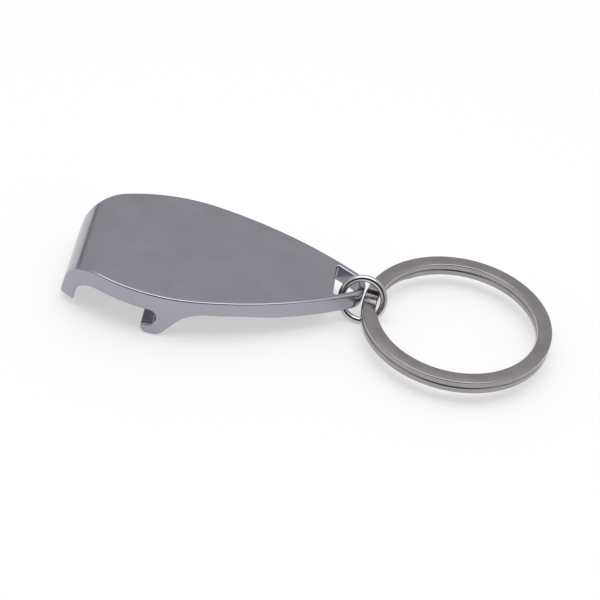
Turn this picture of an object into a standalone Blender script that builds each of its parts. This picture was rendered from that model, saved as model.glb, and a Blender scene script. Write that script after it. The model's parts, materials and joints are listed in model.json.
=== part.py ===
"""Keychain bottle opener: a cast teardrop opener, the jump ring through its tail slot and a split key ring.

The opener is drawn in its own millimetre frame: x runs from the lip to the tail, y across,
z up from the flat top face. It is then tipped onto its claw, the way it lies on a table.
"""

import math

import bmesh
import bpy
from mathutils import Matrix, Vector

MM = 0.001

# Opener, seen from above
LENGTH = 50.0
NOSE_RADIUS = 3.49
NOSE_SWEEP = 57.5
REAR_RADIUS = 72.8
REAR_SWEEP = 21.7
FRONT_RADIUS = 28.1
FRONT_SWEEP = 53.0

# Opener, seen from the side
PLATE = 3.22
WAIST = 2.82
WAIST_FRONT = 31.0
WAIST_REAR = 36.0
WAIST_BLEND = 15.0
LIP_DROP = 8.5
LIP_THICKNESS = 2.6
LIP_FLARE = math.radians(8.2)
LIP_OUTER_RADIUS = 6.3
LIP_INNER_RADIUS = 3.8
THROAT_BACK = 16.8
THROAT_TOP = 3.4
THROAT_GAP = 2.85
TOOTH_TIP = 14.5
TOOTH_FALL = 0.4
CLAW_DROP = 8.35
CLAW_BACK_SLOPE = math.radians(55.0)
CLAW_HEEL = 17.7
CLAW_FILLET = 6.0

# Slot in the tail: its front edge, the rim left round the other sides, its two front corners
SLOT_FRONT = 44.7
SLOT_RIM = 1.05
SLOT_CORNER = 0.35

EDGE_BEVEL = 0.3

# Jump ring: round wire, its centre and the direction its flat side faces
JUMP_RADIUS = 3.62
JUMP_WIRE = 0.62
JUMP_CENTRE = Vector((49.91, -1.45, -1.91))
JUMP_TURN = math.radians(-94.5)
JUMP_LEAN = math.radians(27.5)

# Split ring: a flat wire wound in two turns. Angles run anticlockwise from +x, seen from above
KEY_RADIUS = 16.0
KEY_WIDTH = 2.42
KEY_COIL = 1.13
KEY_GAP = 0.06
KEY_CORNER = 0.22
KEY_CENTRE = Vector((65.88, -3.48, 0.27))
KEY_SLOPE = math.radians(4.0)
KEY_TIP = 181.5
KEY_STEP = (525.0, 528.5)
KEY_STEP_SHARE = 0.62
KEY_RUNOUT = (527.5, 536.0)
KEY_TAPER = (845.0, 858.0)
KEY_THIN_END = 0.8
KEY_END = 878.0
KEY_BULGE = 0.12
KEY_SETTLE = (550.0, 620.0)
KEY_TIP_CORNER = 0.6

# The table: how far the tail dips when the opener lies on its claw
TABLE_TILT = math.radians(4.5)

# Hinge points: the bar at the tip of the tail, and where the split ring passes through the jump ring
TAIL_BAR = Vector((LENGTH - SLOT_RIM / 2, 0.0, -PLATE / 2))
RING_LINK = Vector((51.85, -1.6, -2.23))


def material(name, colour, roughness):
    made = bpy.data.materials.new(name)
    made.use_nodes = True
    shader = made.node_tree.nodes["Principled BSDF"]
    shader.inputs["Base Color"].default_value = (*colour, 1.0)
    shader.inputs["Metallic"].default_value = 1.0
    shader.inputs["Roughness"].default_value = roughness
    return made


def rounded_outline(corners, step_deg):
    """The closed polygon through the corners (x, z, radius), each rounded by its own radius."""
    outline = []
    for i, (x, z, radius) in enumerate(corners):
        corner = Vector((x, z))
        before = (Vector(corners[i - 1][:2]) - corner).normalized()
        after = (Vector(corners[(i + 1) % len(corners)][:2]) - corner).normalized()
        if radius == 0.0:
            outline.append(corner)
            continue
        half = before.angle(after) / 2
        centre = corner + (before + after).normalized() * radius / math.sin(half)
        start = corner + before * radius / math.tan(half) - centre
        turn = math.pi - 2 * half
        steps = max(2, round(math.degrees(turn) / step_deg))
        sign = 1.0 if before.x * after.y - before.y * after.x < 0 else -1.0
        for k in range(steps + 1):
            angle = sign * turn * k / steps
            spoke = Matrix.Rotation(angle, 2) @ start
            outline.append(centre + spoke)
    return outline


def teardrop(inset=0.0, step_mm=1.6):
    """The plan outline, from the tip of the nose round the far side to the lip and back."""
    x, y, heading = LENGTH - inset, 0.0, math.pi / 2
    side = [(x, y)]
    arcs = ((NOSE_RADIUS, NOSE_SWEEP), (REAR_RADIUS, REAR_SWEEP), (FRONT_RADIUS, FRONT_SWEEP))
    for outer_radius, sweep in arcs:
        radius = outer_radius - inset
        steps = max(6, round(math.radians(sweep) * radius / step_mm))
        for _ in range(steps):
            turned = heading + math.radians(sweep) / steps
            x += radius * (math.sin(turned) - math.sin(heading))
            y -= radius * (math.cos(turned) - math.cos(heading))
            heading = turned
            side.append((x, y))
    return side + [(x, -y) for x, y in reversed(side[1:])]


def side_profile():
    """The opener from the side, anticlockwise from the tail end of its top face."""
    past_nose = LENGTH + 2.0
    flare = math.tan(LIP_FLARE)
    throat_floor = -THROAT_TOP - THROAT_GAP
    heel_run = (CLAW_DROP - WAIST) / math.tan(CLAW_BACK_SLOPE)
    corners = (
        (past_nose, 0.0, 0.0),
        (LIP_DROP * flare, 0.0, LIP_OUTER_RADIUS),
        (0.0, -LIP_DROP, 0.35),
        (LIP_THICKNESS, -LIP_DROP + LIP_THICKNESS * flare, 0.4),
        (LIP_THICKNESS, -PLATE, LIP_INNER_RADIUS),
        (THROAT_BACK, -THROAT_TOP, 0.47 * THROAT_GAP),
        (THROAT_BACK, throat_floor, 0.47 * THROAT_GAP),
        (TOOTH_TIP, throat_floor - TOOTH_FALL, 0.25),
        (TOOTH_TIP, -CLAW_DROP, 1.1),
        (CLAW_HEEL, -CLAW_DROP, 2.2),
        (CLAW_HEEL + heel_run, -WAIST, CLAW_FILLET),
        (WAIST_FRONT, -WAIST, WAIST_BLEND),
        (WAIST_REAR, -PLATE, WAIST_BLEND),
        (past_nose, -PLATE, 0.0),
    )
    return rounded_outline(corners, step_deg=6.0)


def slot_outline():
    """The tail's own outline, moved in by the rim and closed by a straight front edge."""
    ahead = [p for p in teardrop(SLOT_RIM, step_mm=0.9) if p[0] > SLOT_FRONT + 0.8]
    far_side = [p for p in ahead if p[1] >= 0.0]
    (x1, y1), (x0, y0) = far_side[-2:]
    corner_y = y0 + (y0 - y1) * (SLOT_FRONT - x0) / (x0 - x1)
    corners = [(x, y, 0.0) for x, y in far_side]
    corners.append((SLOT_FRONT, corner_y, SLOT_CORNER))
    corners.append((SLOT_FRONT, -corner_y, SLOT_CORNER))
    corners += [(x, -y, 0.0) for x, y in reversed(far_side[1:])]
    return rounded_outline(corners, step_deg=15.0)


def prism(name, outline, place, low, high):
    """A solid between two flat copies of an outline. place(u, v, depth) gives a point of it."""
    shape = bmesh.new()
    floor = [shape.verts.new(Vector(place(*p, low)) * MM) for p in outline]
    roof = [shape.verts.new(Vector(place(*p, high)) * MM) for p in outline]
    shape.faces.new(floor)
    shape.faces.new(roof)
    for i in range(len(outline)):
        shape.faces.new((floor[i - 1], floor[i], roof[i], roof[i - 1]))
    bmesh.ops.recalc_face_normals(shape, faces=shape.faces)
    return add_object(name, shape)


def add_object(name, shape):
    mesh = bpy.data.meshes.new(name)
    shape.to_mesh(mesh)
    shape.free()
    made = bpy.data.objects.new(name, mesh)
    bpy.context.scene.collection.objects.link(made)
    return made


def combine(target, other, operation):
    other.hide_render = True
    other.display_type = "WIRE"
    boolean = target.modifiers.new(operation.title(), "BOOLEAN")
    boolean.operation = operation
    boolean.solver = "EXACT"
    boolean.object = other


def shade_smooth(target, degrees=40.0):
    mesh = target.data
    mesh.shade_smooth()
    mesh.set_sharp_from_angle(angle=math.radians(degrees))


def build_opener():
    opener = prism("opener_body", side_profile(), lambda x, z, y: (x, y, z), -20.0, 20.0)
    plan = prism("cut_plan", teardrop(), lambda x, y, z: (x, y, z), -12.0, 3.0)
    slot = prism("cut_slot", slot_outline(), lambda x, y, z: (x, y, z), -8.0, 3.0)
    combine(opener, plan, "INTERSECT")
    combine(opener, slot, "DIFFERENCE")
    bevel = opener.modifiers.new("Edges", "BEVEL")
    bevel.width = EDGE_BEVEL * MM
    bevel.segments = 2
    bevel.limit_method = "ANGLE"
    bevel.angle_limit = math.radians(30)
    bevel.use_clamp_overlap = False
    return opener


def rotated_frame(centre, turn, lean):
    """A frame at the centre whose z axis points at azimuth turn and elevation lean."""
    facing = Matrix.Rotation(turn, 4, "Z") @ Matrix.Rotation(math.pi / 2 - lean, 4, "Y")
    return Matrix.Translation(centre) @ facing


def sweep(name, sections, closed):
    """A solid skinned over a run of closed sections, each a list of points."""
    shape = bmesh.new()
    loops = [[shape.verts.new(point * MM) for point in section] for section in sections]
    pairs = list(zip(loops, loops[1:]))
    if closed:
        pairs.append((loops[-1], loops[0]))
    else:
        shape.faces.new(loops[0])
        shape.faces.new(loops[-1])
    for near, far in pairs:
        for i in range(len(near)):
            shape.faces.new((near[i - 1], near[i], far[i], far[i - 1]))
    bmesh.ops.recalc_face_normals(shape, faces=shape.faces)
    return add_object(name, shape)


def build_jump_ring(frame):
    sections = []
    for i in range(72):
        spin = Matrix.Rotation(math.tau * i / 72, 4, "Z")
        section = []
        for j in range(20):
            around = math.tau * j / 20
            reach = JUMP_RADIUS + JUMP_WIRE * math.cos(around)
            section.append(frame @ spin @ Vector((reach, 0.0, JUMP_WIRE * math.sin(around))))
        sections.append(section)
    return sweep("jump_ring", sections, closed=True)


def eased(angle, start, end):
    """0 before start, 1 past end, and a smooth rise between them."""
    along = min(1.0, max(0.0, (angle - start) / (end - start)))
    return along * along * (3.0 - 2.0 * along)


def key_levels(angle):
    """The heights of the wire's underside and top: a steep step and its runout, then the thin end."""
    steep = KEY_STEP_SHARE * eased(angle, *KEY_STEP)
    gentle = (1.0 - KEY_STEP_SHARE) * eased(angle, *KEY_RUNOUT)
    top = -(KEY_COIL + KEY_GAP) * (steep + gentle)
    thinning = (KEY_COIL - KEY_THIN_END) * eased(angle, *KEY_TAPER)
    return top - KEY_COIL + thinning, top


def key_bulge(angle):
    """How far the wire stands out where its lower turn starts."""
    return KEY_BULGE * (eased(angle, *KEY_STEP) - eased(angle, *KEY_SETTLE))


def key_section(angle, half_width):
    """The flat wire's cross-section as (radius, height), its corners rounded."""
    corner = min(KEY_CORNER, 0.8 * half_width)
    low, high = key_levels(angle)
    radius = KEY_RADIUS - KEY_WIDTH / 2 + key_bulge(angle)
    corners = (
        (radius - half_width, low, corner),
        (radius + half_width, low, corner),
        (radius + half_width, high, corner),
        (radius - half_width, high, corner),
    )
    return rounded_outline(corners, step_deg=30.0)


def key_stations():
    """The angles of the sections, with the wire's half width at each: both ends have round corners."""
    half_width = KEY_WIDTH / 2
    reach = math.degrees(KEY_TIP_CORNER / (KEY_RADIUS - half_width))
    tip = []
    for a in (0, 30, 60):
        cut = KEY_TIP_CORNER * (1 - math.sin(math.radians(a)))
        tip.append((reach * (1 - math.cos(math.radians(a))), half_width - cut))
    runs = (
        (KEY_TIP + reach, KEY_STEP[0], 4.0),
        (KEY_STEP[0], KEY_RUNOUT[1], 0.9),
        (KEY_RUNOUT[1], KEY_TAPER[0], 4.0),
        (KEY_TAPER[0], KEY_TAPER[1], 2.5),
        (KEY_TAPER[1], KEY_END - reach, 4.0),
    )
    middle = []
    for start, end, spacing in runs:
        steps = math.ceil((end - start) / spacing)
        middle += [(start + (end - start) * i / steps, half_width) for i in range(steps)]
    middle.append((runs[-1][1], half_width))
    head = [(KEY_TIP + along, width) for along, width in tip]
    tail = [(KEY_END - along, width) for along, width in reversed(tip)]
    return head + middle + tail


def build_key_ring(frame):
    sections = []
    for angle, half_width in key_stations():
        spin = frame @ Matrix.Rotation(math.radians(angle), 4, "Z")
        outline = key_section(angle, half_width)
        sections.append([spin @ Vector((radius, 0.0, height)) for radius, height in outline])
    return sweep("key_ring", sections, closed=False)


def hang(piece, pivot):
    """Puts the piece's origin on the pivot and leaves its shape where it is."""
    piece.data.transform(Matrix.Translation(-pivot * MM))
    piece.location = pivot * MM


def lay_on_table(pieces):
    """Tips everything by the table's tilt, then stands it on z = 0 with its box centred."""
    table = bpy.data.objects.new("table_frame", None)
    bpy.context.scene.collection.objects.link(table)
    for piece in [o for o in bpy.data.objects if o.type == "MESH"]:
        piece.parent = table
    table.rotation_euler = (0.0, TABLE_TILT, 0.0)
    bpy.context.view_layer.update()
    graph = bpy.context.evaluated_depsgraph_get()
    points = []
    for piece in pieces:
        solid = piece.evaluated_get(graph)
        points += [solid.matrix_world @ v.co for v in solid.data.vertices]
    low = [min(p[axis] for p in points) for axis in range(3)]
    high = [max(p[axis] for p in points) for axis in range(3)]
    table.location = (-(low[0] + high[0]) / 2, -(low[1] + high[1]) / 2, -low[2])


for old in list(bpy.data.objects):
    bpy.data.objects.remove(old, do_unlink=True)

jump_frame = rotated_frame(JUMP_CENTRE, JUMP_TURN, JUMP_LEAN)
key_frame = rotated_frame(KEY_CENTRE, math.pi, math.pi / 2 - KEY_SLOPE)
key_frame = key_frame @ Matrix.Rotation(math.pi, 4, "Z")

opener = build_opener()
jump_ring = build_jump_ring(jump_frame)
key_ring = build_key_ring(key_frame)

plated = material("plated_casting", (0.50, 0.49, 0.51), 0.18)
opener.data.materials.append(plated)
polished = material("polished_wire", (0.68, 0.68, 0.69), 0.08)
jump_ring.data.materials.append(polished)
nickel = material("nickel_spring_steel", (0.58, 0.56, 0.58), 0.14)
key_ring.data.materials.append(nickel)
for piece in (jump_ring, key_ring):
    shade_smooth(piece)

hang(jump_ring, TAIL_BAR)
hang(key_ring, RING_LINK)
lay_on_table((opener, jump_ring, key_ring))
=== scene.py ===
"""The looks of the keychain bottle opener: fine meshes of its three pieces, metals, studio and camera."""

import json
import math

import bmesh
import bpy
import numpy as np
from mathutils import Matrix, Vector


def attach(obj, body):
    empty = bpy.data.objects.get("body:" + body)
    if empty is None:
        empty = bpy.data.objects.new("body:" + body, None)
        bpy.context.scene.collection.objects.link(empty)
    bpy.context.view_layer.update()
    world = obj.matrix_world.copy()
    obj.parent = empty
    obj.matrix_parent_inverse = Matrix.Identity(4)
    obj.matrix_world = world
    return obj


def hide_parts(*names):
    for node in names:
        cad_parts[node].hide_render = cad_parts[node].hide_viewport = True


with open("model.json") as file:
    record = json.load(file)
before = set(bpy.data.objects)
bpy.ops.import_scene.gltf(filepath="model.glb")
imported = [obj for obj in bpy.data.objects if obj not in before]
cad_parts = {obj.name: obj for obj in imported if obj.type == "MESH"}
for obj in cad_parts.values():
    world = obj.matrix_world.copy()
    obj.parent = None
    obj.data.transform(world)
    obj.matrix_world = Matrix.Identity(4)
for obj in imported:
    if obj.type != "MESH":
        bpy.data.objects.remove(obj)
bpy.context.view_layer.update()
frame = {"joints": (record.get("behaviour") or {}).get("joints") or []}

MM = 0.001

# Opener, seen from above
LENGTH = 50.0
NOSE_RADIUS = 3.49
NOSE_SWEEP = 57.5
REAR_RADIUS = 72.8
REAR_SWEEP = 21.7
FRONT_RADIUS = 28.1
FRONT_SWEEP = 53.0

# Opener, seen from the side
PLATE = 3.22
WAIST = 2.82
WAIST_FRONT = 31.0
WAIST_REAR = 36.0
WAIST_BLEND = 15.0
LIP_DROP = 8.5
LIP_THICKNESS = 2.6
LIP_FLARE = math.radians(8.2)
LIP_OUTER_RADIUS = 6.3
LIP_INNER_RADIUS = 3.8
THROAT_BACK = 16.8
THROAT_TOP = 3.4
THROAT_GAP = 2.85
TOOTH_TIP = 14.5
TOOTH_FALL = 0.4
CLAW_DROP = 8.35
CLAW_BACK_SLOPE = math.radians(55.0)
CLAW_HEEL = 17.7
CLAW_FILLET = 6.0

# Slot in the tail
SLOT_FRONT = 44.7
SLOT_RIM = 1.05
SLOT_CORNER = 0.35

EDGE_ROUND = 0.3

# The net that the casting's surface is drawn from: its pitch, and the box that it fills
NET_PITCH = 0.15
NET_LOW = (-0.6, -14.1, -LIP_DROP - 0.4)
NET_HIGH = (LENGTH + 0.5, 14.1, 0.5)
OUTLINE_MARGIN = 1.0
PLAN_HALF_WIDTH = 15.0
SLOT_HALF_WIDTH = 4.0

# Jump ring: round wire
JUMP_RADIUS = 3.62
JUMP_WIRE = 0.62
JUMP_STEPS = 160
JUMP_WIRE_STEPS = 36
JUMP_CENTRE = Vector((49.91, -1.45, -1.91))
JUMP_TURN = math.radians(-94.5)
JUMP_LEAN = math.radians(27.5)

# Split ring: a flat wire wound in two turns. Angles run anticlockwise from +x, seen from above
KEY_RADIUS = 16.0
KEY_WIDTH = 2.42
KEY_COIL = 1.13
KEY_GAP = 0.06
KEY_CORNER = 0.22
KEY_CENTRE = Vector((65.88, -3.48, 0.27))
KEY_SLOPE = math.radians(4.0)
KEY_TIP = 181.5
KEY_STEP = (525.0, 528.5)
KEY_STEP_SHARE = 0.62
KEY_RUNOUT = (527.5, 536.0)
KEY_TAPER = (845.0, 858.0)
KEY_THIN_END = 0.8
KEY_END = 878.0
KEY_BULGE = 0.12
KEY_SETTLE = (550.0, 620.0)
KEY_TIP_LENGTH = 3.1
KEY_TIP_INNER = 1.7
KEY_TIP_OUTER = 0.7
KEY_END_ROUND = 0.6

# How the opener lies on the table, from the place of its tail's hinge
TABLE_TILT = math.radians(4.5)
TAIL_BAR = Vector((LENGTH - SLOT_RIM / 2, 0.0, -PLATE / 2))

# The camera
CAMERA_PLACE = (0.00053, -0.20868, 0.18040)
CAMERA_RIGHT = Vector((0.98959, 0.09829, 0.10514))
CAMERA_AHEAD = Vector((-0.00686, 0.76186, -0.64771))
CAMERA_LENS = 97.8

# The studio: the tent's glow by the height of the direction, then its dark places as a direction,
# the distances where the shade starts and ends, and how much light is left in it
FLOOR_GLOW = 0.48
SOFTBOX_WATTS = 0.7
TENT_GLOW = ((0.0, 0.6), (0.66, 0.62), (0.85, 1.1), (1.0, 1.6))
TENT_SHADES = (
    ((0.0, -0.76, 0.65), 0.35, 0.85, 0.05),
    ((-0.65, 0.76, 0.05), 0.04, 0.18, 0.5),
)


# ---- Shapes ----

def rounded_outline(corners, step_deg):
    """The closed polygon through the corners (x, z, radius), each rounded by its own radius."""
    outline = []
    for i, (x, z, radius) in enumerate(corners):
        corner = Vector((x, z))
        if radius == 0.0:
            outline.append(corner)
            continue
        before = (Vector(corners[i - 1][:2]) - corner).normalized()
        after = (Vector(corners[(i + 1) % len(corners)][:2]) - corner).normalized()
        half = before.angle(after) / 2
        centre = corner + (before + after).normalized() * radius / math.sin(half)
        start = corner + before * radius / math.tan(half) - centre
        turn = math.pi - 2 * half
        steps = max(2, round(math.degrees(turn) / step_deg))
        sign = 1.0 if before.x * after.y - before.y * after.x < 0 else -1.0
        for k in range(steps + 1):
            outline.append(centre + Matrix.Rotation(sign * turn * k / steps, 2) @ start)
    return outline


def teardrop(inset=0.0, step_mm=0.45):
    """The plan outline, from the tip of the nose round the far side to the lip and back."""
    x, y, heading = LENGTH - inset, 0.0, math.pi / 2
    side = [(x, y)]
    arcs = ((NOSE_RADIUS, NOSE_SWEEP), (REAR_RADIUS, REAR_SWEEP), (FRONT_RADIUS, FRONT_SWEEP))
    for outer_radius, sweep in arcs:
        radius = outer_radius - inset
        steps = max(12, round(math.radians(sweep) * radius / step_mm))
        for _ in range(steps):
            turned = heading + math.radians(sweep) / steps
            x += radius * (math.sin(turned) - math.sin(heading))
            y -= radius * (math.cos(turned) - math.cos(heading))
            heading = turned
            side.append((x, y))
    return side + [(x, -y) for x, y in reversed(side[1:])]


def side_profile():
    """The opener from the side, anticlockwise from the tail end of its top face."""
    past_nose = LENGTH + 2.0
    flare = math.tan(LIP_FLARE)
    throat_floor = -THROAT_TOP - THROAT_GAP
    heel_run = (CLAW_DROP - WAIST) / math.tan(CLAW_BACK_SLOPE)
    corners = (
        (past_nose, 0.0, 0.0),
        (LIP_DROP * flare, 0.0, LIP_OUTER_RADIUS),
        (0.0, -LIP_DROP, 0.35),
        (LIP_THICKNESS, -LIP_DROP + LIP_THICKNESS * flare, 0.4),
        (LIP_THICKNESS, -PLATE, LIP_INNER_RADIUS),
        (THROAT_BACK, -THROAT_TOP, 0.47 * THROAT_GAP),
        (THROAT_BACK, throat_floor, 0.47 * THROAT_GAP),
        (TOOTH_TIP, throat_floor - TOOTH_FALL, 0.25),
        (TOOTH_TIP, -CLAW_DROP, 1.1),
        (CLAW_HEEL, -CLAW_DROP, 2.2),
        (CLAW_HEEL + heel_run, -WAIST, CLAW_FILLET),
        (WAIST_FRONT, -WAIST, WAIST_BLEND),
        (WAIST_REAR, -PLATE, WAIST_BLEND),
        (past_nose, -PLATE, 0.0),
    )
    return rounded_outline(corners, step_deg=4.0)


def slot_outline():
    """The tail's own outline, moved in by the rim and closed by a straight front edge."""
    ahead = [p for p in teardrop(SLOT_RIM, step_mm=0.3) if p[0] > SLOT_FRONT + 0.8]
    far_side = [p for p in ahead if p[1] >= 0.0]
    (x1, y1), (x0, y0) = far_side[-2:]
    corner_y = y0 + (y0 - y1) * (SLOT_FRONT - x0) / (x0 - x1)
    corners = [(x, y, 0.0) for x, y in far_side]
    corners.append((SLOT_FRONT, corner_y, SLOT_CORNER))
    corners.append((SLOT_FRONT, -corner_y, SLOT_CORNER))
    corners += [(x, -y, 0.0) for x, y in reversed(far_side[1:])]
    return rounded_outline(corners, step_deg=10.0)


def add_object(name, shape):
    mesh = bpy.data.meshes.new(name)
    shape.to_mesh(mesh)
    shape.free()
    made = bpy.data.objects.new(name, mesh)
    bpy.context.scene.collection.objects.link(made)
    return made


def settle(piece, place):
    """Keeps each point's own place in mm, for the metals, then moves the mesh into the scene."""
    own = piece.data.attributes.new("own_place", "FLOAT_VECTOR", "POINT")
    for vertex, stored in zip(piece.data.vertices, own.data):
        stored.vector = vertex.co / MM
    piece.data.transform(place)


def sweep(name, sections, closed):
    """A solid skinned over a run of closed sections, each a list of points."""
    shape = bmesh.new()
    loops = [[shape.verts.new(point * MM) for point in section] for section in sections]
    pairs = list(zip(loops, loops[1:]))
    if closed:
        pairs.append((loops[-1], loops[0]))
    else:
        shape.faces.new(loops[0])
        shape.faces.new(loops[-1])
    for near, far in pairs:
        for i in range(len(near)):
            shape.faces.new((near[i - 1], near[i], far[i], far[i - 1]))
    bmesh.ops.recalc_face_normals(shape, faces=shape.faces)
    return add_object(name, shape)


class Outline:
    """A closed 2-D outline as a signed distance in mm, below 0 inside it, kept on a fine grid."""

    step = 0.08

    def __init__(self, corners, low, high):
        self.low = np.array(low)
        counts = np.ceil((np.array(high) - self.low) / self.step).astype(int)
        axes = [self.low[i] + self.step * np.arange(counts[i]) for i in (0, 1)]
        u, v = np.meshgrid(*axes, indexing="ij")
        nearest = np.full(u.shape, 1e9)
        inside = np.zeros(u.shape, bool)
        for i, (end_u, end_v) in enumerate(corners):
            start_u, start_v = corners[i - 1]
            run_u, run_v = end_u - start_u, end_v - start_v
            along = ((u - start_u) * run_u + (v - start_v) * run_v) / (run_u**2 + run_v**2)
            along = np.clip(along, 0.0, 1.0)
            away = (u - start_u - along * run_u) ** 2 + (v - start_v - along * run_v) ** 2
            nearest = np.minimum(nearest, away)
            if run_v:
                spans = (start_v > v) != (end_v > v)
                inside ^= spans & (u < start_u + run_u * (v - start_v) / run_v)
        self.values = np.where(inside, -1.0, 1.0) * np.sqrt(nearest)

    def __call__(self, u, v):
        place = [(u - self.low[0]) / self.step, (v - self.low[1]) / self.step]
        cell = [np.clip(p.astype(int), 0, n - 2) for p, n in zip(place, self.values.shape)]
        s, t = (np.clip(p - c, 0.0, 1.0) for p, c in zip(place, cell))
        i, j = cell
        near = self.values[i, j] * (1 - s) + self.values[i + 1, j] * s
        far = self.values[i, j + 1] * (1 - s) + self.values[i + 1, j + 1] * s
        return near * (1 - t) + far * t


def rounded_meet(first, second, radius):
    """The distance to what two solids share, with this radius on the edge where they meet."""
    past_first = first + radius
    past_second = second + radius
    outside = np.hypot(np.maximum(past_first, 0.0), np.maximum(past_second, 0.0))
    return outside + np.minimum(np.maximum(past_first, past_second), 0.0) - radius


def net_over(distance, low, high, pitch):
    """Points and quads of the surface where the distance is 0: one point for each cell that it crosses."""
    axes = [np.arange(low[i], high[i] + pitch, pitch) for i in range(3)]
    values = distance(*np.meshgrid(*axes, indexing="ij"))
    totals = np.zeros((*values.shape, 3))
    counts = np.zeros(values.shape)
    rings = []
    for axis in range(3):
        start = np.moveaxis(values, axis, 0)[:-1]
        end = np.moveaxis(values, axis, 0)[1:]
        found = np.argwhere((start < 0) != (end < 0))
        at = tuple(found.T)
        share = start[at] / (start[at] - end[at])
        rising = start[at] < 0
        edges = np.zeros_like(found)
        edges[:, axis] = found[:, 0]
        others = [i for i in range(3) if i != axis]
        edges[:, others] = found[:, 1:]
        crossing = edges.astype(float)
        crossing[:, axis] += share
        around = []
        for back in ((0, 0), (1, 0), (1, 1), (0, 1)):
            cell = edges.copy()
            cell[:, others] -= back
            np.add.at(totals, tuple(cell.T), crossing)
            np.add.at(counts, tuple(cell.T), 1)
            around.append(np.ravel_multi_index(tuple(cell.T), values.shape))
        ring = np.stack(around, axis=1)
        flip = rising if axis == 1 else ~rising
        ring[flip] = ring[flip][:, ::-1]
        rings.append(ring)
    used = np.flatnonzero(counts.ravel())
    numbers = np.full(counts.size, -1)
    numbers[used] = np.arange(len(used))
    points = totals.reshape(-1, 3)[used] / counts.ravel()[used, None]
    return points * pitch + np.array(low), numbers[np.concatenate(rings)]


def drawn_onto(points, distance, rounds=3, reach=0.02):
    """Moves the points onto the surface where the distance is 0."""
    for _ in range(rounds):
        slopes = []
        for axis in range(3):
            ahead = points.copy()
            behind = points.copy()
            ahead[:, axis] += reach
            behind[:, axis] -= reach
            slopes.append((distance(*ahead.T) - distance(*behind.T)) / (2 * reach))
        slope = np.stack(slopes, axis=1)
        slope /= np.maximum(np.linalg.norm(slope, axis=1, keepdims=True), 1e-6)
        points = points - slope * distance(*points.T)[:, None]
    return points


def build_opener():
    margin = OUTLINE_MARGIN
    rear = LENGTH + margin
    side = Outline(side_profile(), (-margin, -LIP_DROP - margin), (rear, margin))
    plan = Outline(teardrop(), (-margin, -PLAN_HALF_WIDTH), (rear, PLAN_HALF_WIDTH))
    slot = Outline(slot_outline(), (SLOT_FRONT - margin, -SLOT_HALF_WIDTH), (rear, SLOT_HALF_WIDTH))

    def distance(x, y, z):
        solid = rounded_meet(side(x, z), plan(x, y), EDGE_ROUND)
        in_slot = np.where(x > SLOT_FRONT - 0.9 * margin, slot(x, y), margin)
        return rounded_meet(solid, -in_slot, EDGE_ROUND)

    pitch = NET_PITCH
    points, quads = net_over(distance, NET_LOW, NET_HIGH, pitch)
    points = drawn_onto(points, distance)
    mesh = bpy.data.meshes.new("opener_casting")
    mesh.from_pydata(points * MM, [], quads.tolist())
    mesh.shade_smooth()
    casting = bpy.data.objects.new("opener_casting", mesh)
    bpy.context.scene.collection.objects.link(casting)
    return casting


def build_jump_ring():
    sections = []
    for i in range(JUMP_STEPS):
        spin = Matrix.Rotation(math.tau * i / JUMP_STEPS, 4, "Z")
        section = []
        for j in range(JUMP_WIRE_STEPS):
            around = math.tau * j / JUMP_WIRE_STEPS
            reach = JUMP_RADIUS + JUMP_WIRE * math.cos(around)
            section.append(spin @ Vector((reach, 0.0, JUMP_WIRE * math.sin(around))))
        sections.append(section)
    wire = sweep("jump_ring_wire", sections, closed=True)
    wire.data.shade_smooth()
    return wire


def eased(angle, start, end):
    """0 before start, 1 past end, and a smooth rise between them."""
    along = min(1.0, max(0.0, (angle - start) / (end - start)))
    return along * along * (3.0 - 2.0 * along)


def key_levels(angle):
    """The heights of the wire's underside and top: a steep step and its runout, then the thin end."""
    steep = KEY_STEP_SHARE * eased(angle, *KEY_STEP)
    gentle = (1.0 - KEY_STEP_SHARE) * eased(angle, *KEY_RUNOUT)
    top = -(KEY_COIL + KEY_GAP) * (steep + gentle)
    thinning = (KEY_COIL - KEY_THIN_END) * eased(angle, *KEY_TAPER)
    return top - KEY_COIL + thinning, top


def key_section(angle, inner_cut, outer_cut):
    """The flat wire's cross-section as (radius, height), its corners rounded."""
    low, high = key_levels(angle)
    bulge = KEY_BULGE * (eased(angle, *KEY_STEP) - eased(angle, *KEY_SETTLE))
    inner = KEY_RADIUS - KEY_WIDTH + bulge + inner_cut
    outer = KEY_RADIUS + bulge - outer_cut
    corner = min(KEY_CORNER, 0.45 * (outer - inner))
    corners = (
        (inner, low, corner),
        (outer, low, corner),
        (outer, high, corner),
        (inner, high, corner),
    )
    return rounded_outline(corners, step_deg=15.0)


def quarter_cut(along, length, depth):
    """How much a rounded corner takes off at this distance from the wire's end."""
    short = max(0.0, 1.0 - along / length)
    return depth * (1.0 - math.sqrt(1.0 - short * short))


def key_stations():
    """The angle and the two cuts of every section: the upper end's inner corner is well rounded."""
    per_mm = math.degrees(1.0 / (KEY_RADIUS - KEY_WIDTH))
    stations = []
    for k in range(19):
        along = KEY_TIP_LENGTH * (1.0 - math.cos(math.radians(5.0 * k)))
        inner_cut = quarter_cut(along, KEY_TIP_LENGTH, KEY_TIP_INNER)
        outer_cut = quarter_cut(along, KEY_TIP_OUTER, KEY_TIP_OUTER)
        stations.append((KEY_TIP + along * per_mm, inner_cut, outer_cut))
    last = KEY_END - KEY_END_ROUND * per_mm
    runs = (
        (stations[-1][0], KEY_STEP[0], 1.5),
        (KEY_STEP[0], KEY_RUNOUT[1], 0.4),
        (KEY_RUNOUT[1], last, 1.5),
    )
    for start, end, spacing in runs:
        steps = math.ceil((end - start) / spacing)
        stations += [(start + (end - start) * i / steps, 0.0, 0.0) for i in range(1, steps + 1)]
    for k in range(1, 7):
        left = KEY_END_ROUND * (1.0 - math.sin(math.radians(15.0 * k)))
        cut = quarter_cut(left, KEY_END_ROUND, KEY_END_ROUND)
        stations.append((KEY_END - left * per_mm, cut, cut))
    return stations


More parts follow.
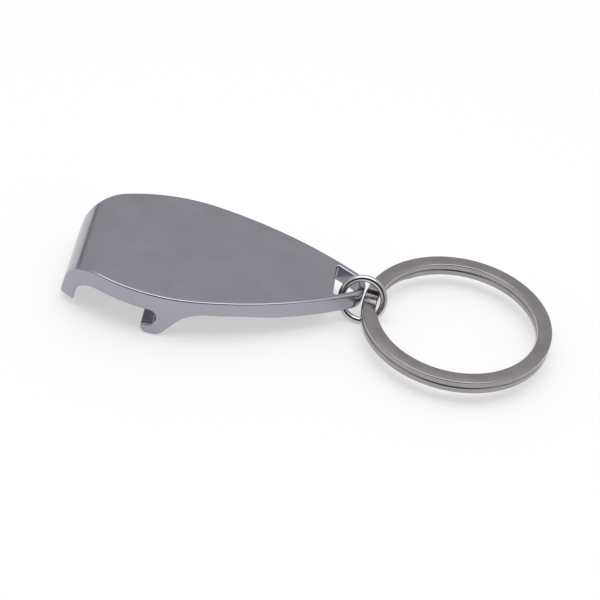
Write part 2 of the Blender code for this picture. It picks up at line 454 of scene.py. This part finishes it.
def build_key_ring():
    sections = []
    for angle, inner_cut, outer_cut in key_stations():
        spin = Matrix.Rotation(math.radians(angle), 4, "Z")
        outline = key_section(angle, inner_cut, outer_cut)
        sections.append([spin @ Vector((radius, 0.0, height)) for radius, height in outline])
    coil = sweep("key_ring_coil", sections, closed=False)
    coil.data.shade_smooth()
    coil.data.set_sharp_from_angle(angle=math.radians(50))
    return coil


# ---- Metals ----

class Metal:
    """A metal material, built up from noise: its colour, its gloss and its fine relief."""

    def __init__(self, name, roughness):
        self.material = bpy.data.materials.new(name)
        self.material.use_nodes = True
        self.nodes = self.material.node_tree.nodes
        self.links = self.material.node_tree.links
        self.shader = self.nodes["Principled BSDF"]
        self.shader.inputs["Metallic"].default_value = 1.0
        self.shader.inputs["Roughness"].default_value = roughness
        own = self.nodes.new("ShaderNodeAttribute")
        own.attribute_name = "own_place"
        self.place = own.outputs["Vector"]
        self.relief = None

    def stretched(self, scale):
        """The piece's own place in mm, scaled by different amounts along x, y and z."""
        mapping = self.nodes.new("ShaderNodeMapping")
        mapping.inputs["Scale"].default_value = scale
        self.links.new(self.place, mapping.inputs["Vector"])
        return mapping.outputs["Vector"]

    def around(self, turns_scale):
        """Coordinates that run round the z axis: radius, height, and the angle at a small scale."""
        split = self.nodes.new("ShaderNodeSeparateXYZ")
        self.links.new(self.place, split.inputs["Vector"])
        squares = [self.math("MULTIPLY", split.outputs[axis], split.outputs[axis]) for axis in "XY"]
        radius = self.math("SQRT", self.math("ADD", *squares))
        angle = self.math("ARCTAN2", split.outputs["Y"], split.outputs["X"])
        joined = self.nodes.new("ShaderNodeCombineXYZ")
        self.links.new(radius, joined.inputs["X"])
        self.links.new(self.math("MULTIPLY", angle, turns_scale), joined.inputs["Y"])
        self.links.new(split.outputs["Z"], joined.inputs["Z"])
        return joined.outputs["Vector"]

    def math(self, operation, first, second=None):
        node = self.nodes.new("ShaderNodeMath")
        node.operation = operation
        for socket, value in zip(node.inputs, (first, second)):
            if isinstance(value, float):
                socket.default_value = value
            elif value is not None:
                self.links.new(value, socket)
        return node.outputs["Value"]

    def noise(self, coordinates, scale, detail=3.0):
        node = self.nodes.new("ShaderNodeTexNoise")
        node.inputs["Scale"].default_value = scale
        node.inputs["Detail"].default_value = detail
        self.links.new(coordinates, node.inputs["Vector"])
        return node.outputs["Fac"]

    def span(self, value, low, high, start=0.3, end=0.7):
        """The value's run from start to end, turned into low to high."""
        node = self.nodes.new("ShaderNodeMapRange")
        node.inputs["From Min"].default_value = start
        node.inputs["From Max"].default_value = end
        node.inputs["To Min"].default_value = low
        node.inputs["To Max"].default_value = high
        self.links.new(value, node.inputs["Value"])
        return node.outputs["Result"]

    def colours(self, value, dark, light):
        mix = self.nodes.new("ShaderNodeMix")
        mix.data_type = "RGBA"
        mix.inputs["A"].default_value = (*dark, 1.0)
        mix.inputs["B"].default_value = (*light, 1.0)
        self.links.new(value, mix.inputs["Factor"])
        self.links.new(mix.outputs["Result"], self.shader.inputs["Base Color"])

    def rough(self, value):
        self.links.new(value, self.shader.inputs["Roughness"])

    def bump(self, height, depth_mm, strength=1.0):
        """Adds relief of about this depth over whatever relief is there."""
        node = self.nodes.new("ShaderNodeBump")
        node.inputs["Distance"].default_value = depth_mm * MM
        node.inputs["Strength"].default_value = strength
        self.links.new(height, node.inputs["Height"])
        if self.relief is not None:
            self.links.new(self.relief, node.inputs["Normal"])
        self.relief = node.outputs["Normal"]
        self.links.new(self.relief, self.shader.inputs["Normal"])


def plated_casting():
    """Dark nickel over a tumbled zinc casting: a faint ripple, hairline scratches and a few pinholes."""
    metal = Metal("plated_casting_look", 0.2)
    clouds = metal.noise(metal.place, 0.12)
    metal.colours(metal.span(clouds, 0.0, 1.0), (0.352, 0.343, 0.384), (0.386, 0.376, 0.420))
    metal.rough(metal.span(metal.noise(metal.place, 0.26, 5.0), 0.13, 0.22))
    metal.bump(metal.noise(metal.place, 0.18, 2.0), 0.008)
    scratches = metal.noise(metal.stretched((0.2, 6.0, 6.0)), 1.0, 6.0)
    metal.bump(scratches, 0.0012)
    pinholes = metal.span(metal.noise(metal.place, 0.9, 1.0), 0.0, 1.0, 0.15, 0.22)
    metal.bump(pinholes, 0.02)
    return metal.material


def polished_wire():
    """Bright chrome wire, with the finest drawing marks running along it."""
    metal = Metal("polished_wire_look", 0.06)
    metal.colours(metal.noise(metal.place, 0.3), (0.50, 0.50, 0.51), (0.60, 0.60, 0.61))
    marks = metal.noise(metal.around(0.4), 9.0, 4.0)
    metal.rough(metal.span(marks, 0.04, 0.1))
    metal.bump(marks, 0.001)
    return metal.material


def nickel_spring_steel():
    """Nickel over flat spring wire: marks drawn along the wire, and small dull rubs."""
    metal = Metal("nickel_spring_steel_look", 0.15)
    marks = metal.noise(metal.around(0.6), 5.2, 4.0)
    rubs = metal.noise(metal.place, 0.24, 4.0)
    metal.colours(metal.span(rubs, 0.0, 1.0), (0.310, 0.287, 0.304), (0.361, 0.336, 0.354))
    metal.rough(metal.span(rubs, 0.1, 0.2))
    metal.bump(marks, 0.0016)
    return metal.material


# ---- Studio ----

def build_floor():
    shape = bmesh.new()
    bmesh.ops.create_grid(shape, x_segments=1, y_segments=1, size=3.0)
    floor = add_object("studio_floor", shape)
    paper = bpy.data.materials.new("pale_paper")
    paper.use_nodes = True
    shader = paper.node_tree.nodes["Principled BSDF"]
    shader.inputs["Base Color"].default_value = (0.55, 0.55, 0.55, 1.0)
    shader.inputs["Roughness"].default_value = 0.9
    shader.inputs["Specular IOR Level"].default_value = 0.1
    shader.inputs["Emission Color"].default_value = (1.0, 1.0, 1.0, 1.0)
    shader.inputs["Emission Strength"].default_value = FLOOR_GLOW
    floor.data.materials.append(paper)


def build_room():
    """A pale tent: bright overhead, dimmer walls, a dark opening round the camera and a dark left edge."""
    world = bpy.data.worlds.new("studio_tent")
    world.use_nodes = True
    nodes = world.node_tree.nodes
    links = world.node_tree.links
    direction = nodes.new("ShaderNodeTexCoord").outputs["Generated"]
    split = nodes.new("ShaderNodeSeparateXYZ")
    links.new(direction, split.inputs["Vector"])
    walls = nodes.new("ShaderNodeValToRGB")
    for i, (height, glow) in enumerate(TENT_GLOW):
        stop = walls.color_ramp.elements[i] if i < 2 else walls.color_ramp.elements.new(height)
        stop.position = height
        stop.color = (glow, glow, glow, 1.0)
    links.new(split.outputs["Z"], walls.inputs["Fac"])
    strength = None
    for centre, near, far, darkest in TENT_SHADES:
        away = nodes.new("ShaderNodeVectorMath")
        away.operation = "DISTANCE"
        away.inputs[1].default_value = centre
        links.new(direction, away.inputs[0])
        shade = nodes.new("ShaderNodeMapRange")
        shade.interpolation_type = "SMOOTHSTEP"
        shade.inputs["From Min"].default_value = near
        shade.inputs["From Max"].default_value = far
        shade.inputs["To Min"].default_value = darkest
        links.new(away.outputs["Value"], shade.inputs["Value"])
        both = nodes.new("ShaderNodeMath")
        both.operation = "MULTIPLY"
        both.inputs[0].default_value = 1.0
        links.new(shade.outputs["Result"], both.inputs[1])
        if strength is not None:
            links.new(strength, both.inputs[0])
        strength = both.outputs["Value"]
    glow = nodes["Background"]
    links.new(walls.outputs["Color"], glow.inputs["Color"])
    links.new(strength, glow.inputs["Strength"])
    bpy.context.scene.world = world


def build_softbox():
    lamp = bpy.data.lights.new("overhead_softbox", "AREA")
    lamp.shape = "RECTANGLE"
    lamp.size = 0.5
    lamp.size_y = 0.3
    lamp.energy = SOFTBOX_WATTS
    box = bpy.data.objects.new("overhead_softbox", lamp)
    box.location = (0.0, -0.02, 0.5)
    bpy.context.scene.collection.objects.link(box)


def build_camera():
    data = bpy.data.cameras.new("camera")
    data.lens = CAMERA_LENS
    data.sensor_width = 36.0
    data.clip_start = 0.01
    camera = bpy.data.objects.new("camera", data)
    up = CAMERA_RIGHT.cross(CAMERA_AHEAD)
    turn = Matrix((CAMERA_RIGHT, up, -CAMERA_AHEAD)).transposed().to_4x4()
    camera.matrix_world = Matrix.Translation(CAMERA_PLACE) @ turn
    bpy.context.scene.collection.objects.link(camera)
    bpy.context.scene.camera = camera


# ---- The object ----

hinges = {joint["name"]: Vector(joint["pos_m"]) for joint in frame["joints"]}
table = Matrix.Translation(hinges["jump_ring_swing"])
table = table @ Matrix.Rotation(TABLE_TILT, 4, "Y") @ Matrix.Translation(-TAIL_BAR * MM)
jump_place = table @ Matrix.Translation(JUMP_CENTRE * MM)
jump_place = jump_place @ Matrix.Rotation(JUMP_TURN, 4, "Z")
jump_place = jump_place @ Matrix.Rotation(math.pi / 2 - JUMP_LEAN, 4, "Y")
key_place = table @ Matrix.Translation(KEY_CENTRE * MM) @ Matrix.Rotation(-KEY_SLOPE, 4, "Y")

pieces = (
    (build_opener(), table, "opener", "opener_body", "plated_casting", plated_casting()),
    (build_jump_ring(), jump_place, "jump_ring", "jump_ring", "polished_wire", polished_wire()),
    (build_key_ring(), key_place, "key_ring", "key_ring", "nickel_spring_steel", nickel_spring_steel()),
)
for piece, place, body, node, slot, look in pieces:
    settle(piece, place)
    piece.data.materials.append(look)
    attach(piece, body)
    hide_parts(node)

build_floor()
build_room()
build_softbox()
build_camera()
bpy.context.scene.view_settings.view_transform = "Standard"
